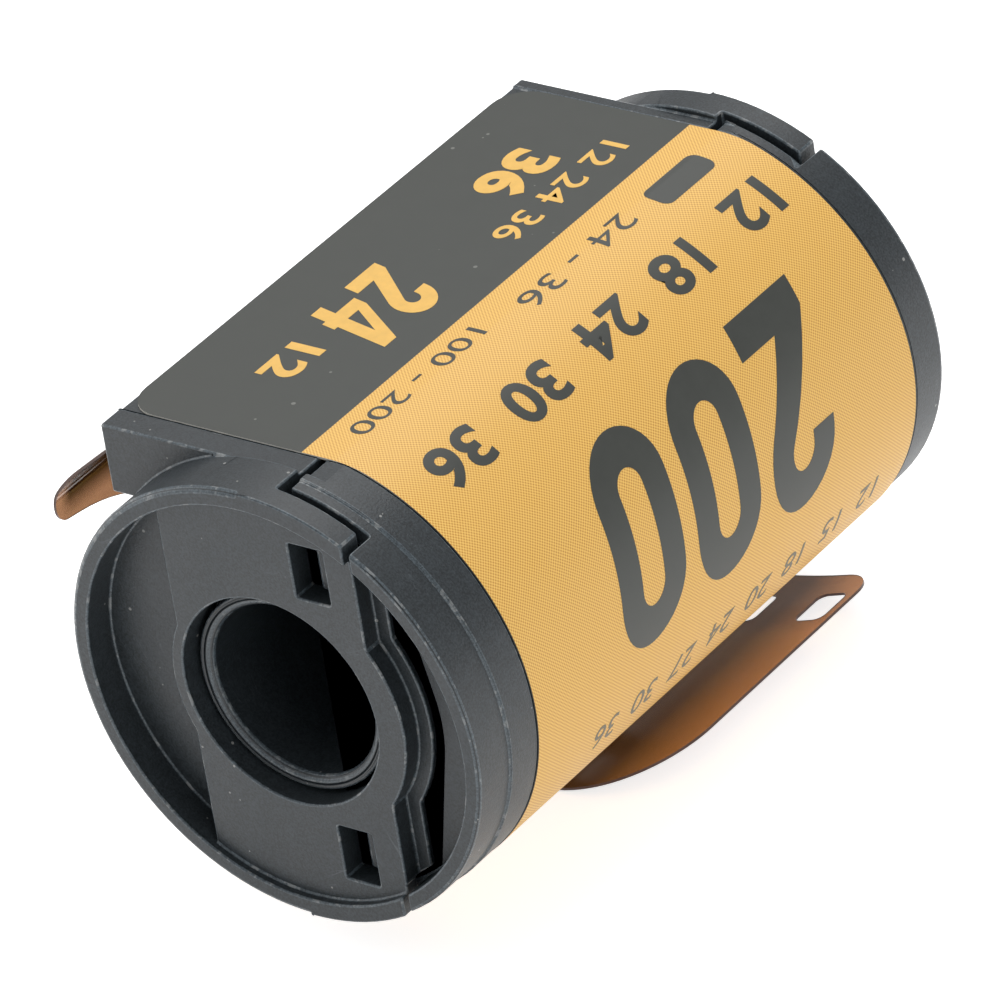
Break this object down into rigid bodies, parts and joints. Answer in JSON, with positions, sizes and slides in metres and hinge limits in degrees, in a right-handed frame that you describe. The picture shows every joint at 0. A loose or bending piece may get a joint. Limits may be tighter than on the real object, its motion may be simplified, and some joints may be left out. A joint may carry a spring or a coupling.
{
  "type": "film cartridge",
  "caption": "Plastic cartridge of still-camera film with a snap-together case, a turning spool and a perforated leader that curls out of the slot.",
  "frame": {"origin": "on the spool's axis, at the mouth of the open near bore", "axes": "+Y along the spool's axis from the near end into the case, +Z square to the flat label face, film slot looks to -X"},
  "size_m": [0.0284, 0.047, 0.0276],
  "materials": {
    "case_plastic": "fine moulded grain, semi-matt",
    "spool_plastic": "smooth moulded",
    "film": "glossy film base",
    "felt": "short black plush",
    "label_paper": "printed satin paper"
  },
  "bodies": {
    "case": {"case_main": "case_plastic", "case_cover": "case_plastic", "film_leader": "film", "felt_upper": "felt", "felt_lower": "felt", "label": "label_paper"},
    "spool": {"spool": "spool_plastic", "film_roll": "film"}
  },
  "joints": [
    {"name": "spool_turn", "type": "hinge", "parent": "case", "child": "spool", "pos_m": [0, 0, 0], "axis": [0, 1, 0], "continuous": true}
  ]
}
